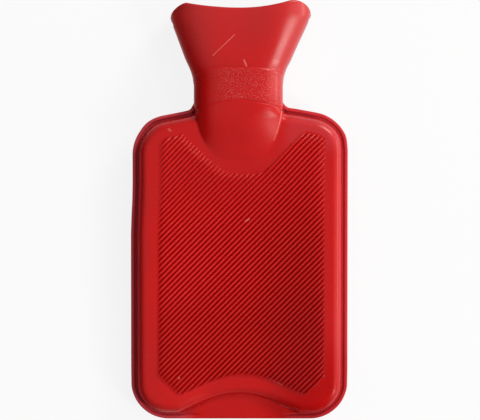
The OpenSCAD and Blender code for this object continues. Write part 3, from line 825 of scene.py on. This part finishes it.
def markMask(tree, place, start, end, width):
    # 1 on the line between the two ends, falling to 0 at the mark's half width from it. Height counts
    # for less than half, because the ends' heights are only near the skin's.
    start, end = np.array(start) * 0.001, np.array(end) * 0.001
    length = float(np.linalg.norm(end - start))
    along = tuple(((end - start) / length).tolist())
    off = vectorMath(tree, "SUBTRACT", {0: place, 1: tuple(start.tolist())})[0]
    far = vectorMath(tree, "DOT_PRODUCT", {0: off, 1: along})[1]
    held = addNode(tree, "ShaderNodeClamp", {0: far, 1: 0.0, 2: length}).outputs[0]
    foot = vectorMath(tree, "SCALE", {0: along, 3: held})[0]
    apart = vectorMath(tree, "SUBTRACT", {0: off, 1: foot})[0]
    apart = vectorMath(tree, "MULTIPLY", {0: apart, 1: (1.0, 1.0, 0.4)})[0]
    apart = vectorMath(tree, "LENGTH", {0: apart})[1]
    return ranged(tree, apart, 0.0, width * 0.001, 1.0, 0.0)


def rubberMaterial():
    tree = newMaterial("moulded_red_rubber", bottle, ribPatch)
    place = addNode(tree, "ShaderNodeTexCoord").outputs["Object"]
    cloud = addNode(tree, "ShaderNodeTexNoise", {
        "Vector": place, "Scale": 28.0, "Detail": 3.0, "Roughness": 0.55}).outputs[0]
    speck = addNode(tree, "ShaderNodeTexNoise", {"Vector": place, "Scale": 900.0, "Detail": 2.0}).outputs[0]
    colour = tinted(tree, cloud, toLinear(rubberLook["deep"]), toLinear(rubberLook["pale"]))
    # Specks of dust all over and more towards the mouth, the painted highlight on the ribs' crests and the
    # painted shade in their valleys, painted shade in creases and corners, and the rim's dust with its
    # painted light.
    layers = [(ranged(tree, speck, 0.45, 0.8, 0.0, 0.1), "dust")]
    high = addNode(tree, "ShaderNodeSeparateXYZ", {0: place}).outputs[1]
    layers.append((ranged(tree, high, 0.085, 0.135, 0.0, 0.21), "dust"))
    shade = addNode(tree, "ShaderNodeAttribute", attribute_name="rib").outputs["Fac"]
    layers.append((ranged(tree, shade, 0.2, 0.5, 0.0, 0.4), "crest"))
    layers.append((ranged(tree, shade, 0.05, -0.35, 0.0, 0.9), "valley"))
    paintedShade = addNode(tree, "ShaderNodeAttribute", attribute_name="paintedShade").outputs["Fac"]
    layers.append((ranged(tree, paintedShade, 0.0, 1.0, 0.0, 0.6), "paintedShade"))
    dustAndPaintedLight = addNode(tree, "ShaderNodeAttribute", attribute_name="dustAndPaintedLight").outputs["Fac"]
    layers.append((ranged(tree, dustAndPaintedLight, 0.0, 1.0, 0.0, 0.5), "rim"))
    for amount, tint in layers:
        colour = tinted(tree, amount, colour, toLinear(rubberLook[tint]))
    rough = ranged(tree, cloud, 0.3, 0.7, rubberLook["rough"] - 0.04, rubberLook["rough"] + 0.06)
    skin = addNode(tree, "ShaderNodeTexNoise", {"Vector": place, "Scale": 2600.0, "Detail": 2.0})
    bump = addNode(tree, "ShaderNodeBump", {"Strength": 0.25, "Distance": 0.00006, "Height": skin.outputs[0]})
    # the pebbles of the band, drawn 0.85 mm apart, because the real 0.6 mm wouldn't show
    mask = addNode(tree, "ShaderNodeAttribute", attribute_name="grain").outputs["Fac"]
    cells = addNode(tree, "ShaderNodeTexVoronoi", {
        "Vector": place, "Scale": 1000.0 / rubberLook["grainMm"], "Randomness": 1.0})
    pebble = ranged(tree, cells.outputs["Distance"], 0.05, 0.5, 1.0, 0.0)
    raised = combined(tree, "MULTIPLY", pebble, mask)
    bump = addNode(tree, "ShaderNodeBump", {
        "Strength": 0.8, "Distance": 0.00028, "Height": raised, "Normal": bump.outputs[0]})
    # The pale tops of the pebbles are partly rubbed and partly a painted highlight.
    rubbedAndLitTops = combined(tree, "MULTIPLY", raised, 0.52)
    colour = tinted(tree, rubbedAndLitTops, colour, toLinear(rubberLook["grain"]))
    for start, end, width, strength, tint in marksAndPaintedLight:
        cover = combined(tree, "MULTIPLY", markMask(tree, place, start, end, width), strength)
        colour = tinted(tree, cover, colour, toLinear(rubberLook[tint]))
    # The sheen is painted by which way the skin faces the lamps: almost none in the valleys of the ribs,
    # under painted shade and on what faces left, away from the lamps, and the most on what faces right,
    # towards them.
    bloom = addNode(tree, "ShaderNodeAttribute", attribute_name="bloom").outputs["Fac"]
    paintedLight = combined(tree, "MINIMUM", shade, 0.0)
    paintedLight = combined(tree, "SUBTRACT", paintedLight, paintedShade)
    paintedLight = combined(tree, "MULTIPLY_ADD", bloom, -0.33, paintedLight)
    sheen = ranged(tree, paintedLight, -0.3, 0.7, rubberLook["dull"], rubberLook["specular"])
    shader = addNode(tree, "ShaderNodeBsdfPrincipled", {
        "Base Color": colour, "Roughness": rough, "IOR": 1.52, "Normal": bump.outputs[0],
        "Specular IOR Level": sheen})
    addNode(tree, "ShaderNodeOutputMaterial", {"Surface": shader.outputs[0]})


rubberMaterial()


# Turned brass: warm metal with fine rings from the lathe around the bore's axis, dulled in clouds by water.
brassLook = {"stained": "#b08a45", "bright": "#e0c078"}


def brassMaterial():
    tree = newMaterial("turned_brass", socket)
    place = addNode(tree, "ShaderNodeTexCoord").outputs["Object"]
    stain = addNode(tree, "ShaderNodeTexNoise", {"Vector": place, "Scale": 160.0, "Detail": 4.0}).outputs[0]
    colour = tinted(tree, stain, toLinear(brassLook["stained"]), toLinear(brassLook["bright"]))
    rough = ranged(tree, stain, 0.3, 0.7, 0.42, 0.24)
    lathe = addNode(tree, "ShaderNodeTexWave", {"Vector": place, "Scale": 450.0, "Distortion": 0.4},
                    wave_type="BANDS", bands_direction="Y")
    bump = addNode(tree, "ShaderNodeBump", {
        "Strength": 0.15, "Distance": 0.00005, "Height": lathe.outputs["Fac"]})
    shader = addNode(tree, "ShaderNodeBsdfPrincipled", {
        "Base Color": colour, "Metallic": 1.0, "Roughness": rough, "Normal": bump.outputs[0]})
    addNode(tree, "ShaderNodeOutputMaterial", {"Surface": shader.outputs[0]})


brassMaterial()


# Dark sealing rubber, matt, with the pale bloom that comes from hot water.
sealLook = {"dark": "#1a1a1b", "bloomed": "#3a3938", "rough": 0.72}


def sealMaterial():
    tree = newMaterial("sealing_rubber", washer)
    place = addNode(tree, "ShaderNodeTexCoord").outputs["Object"]
    bloom = addNode(tree, "ShaderNodeTexNoise", {"Vector": place, "Scale": 300.0, "Detail": 5.0}).outputs[0]
    colour = tinted(tree, bloom, toLinear(sealLook["dark"]), toLinear(sealLook["bloomed"]))
    bump = addNode(tree, "ShaderNodeBump", {"Strength": 0.3, "Distance": 0.00008, "Height": bloom})
    shader = addNode(tree, "ShaderNodeBsdfPrincipled", {
        "Base Color": colour, "Roughness": sealLook["rough"], "IOR": 1.52, "Normal": bump.outputs[0]})
    addNode(tree, "ShaderNodeOutputMaterial", {"Surface": shader.outputs[0]})


sealMaterial()


# Injection-moulded polypropylene: an eggshell sheen, a faint orange peel, scuffs that dull it.
plasticLook = {"dark": "#242427", "scuffed": "#34343a"}


def plasticMaterial():
    tree = newMaterial("moulded_polypropylene", stopper)
    place = addNode(tree, "ShaderNodeTexCoord").outputs["Object"]
    scuff = addNode(tree, "ShaderNodeTexNoise", {
        "Vector": place, "Scale": 120.0, "Detail": 6.0, "Distortion": 0.6}).outputs[0]
    peel = addNode(tree, "ShaderNodeTexNoise", {"Vector": place, "Scale": 1400.0, "Detail": 1.0})
    colour = tinted(tree, scuff, toLinear(plasticLook["dark"]), toLinear(plasticLook["scuffed"]))
    rough = ranged(tree, scuff, 0.3, 0.7, 0.3, 0.46)
    bump = addNode(tree, "ShaderNodeBump", {"Strength": 0.2, "Distance": 0.00006, "Height": peel.outputs[0]})
    shader = addNode(tree, "ShaderNodeBsdfPrincipled", {
        "Base Color": colour, "Roughness": rough, "IOR": 1.49, "Normal": bump.outputs[0]})
    addNode(tree, "ShaderNodeOutputMaterial", {"Surface": shader.outputs[0]})


plasticMaterial()
print("materials set")

bpy.context.scene.view_settings.view_transform = "Standard"
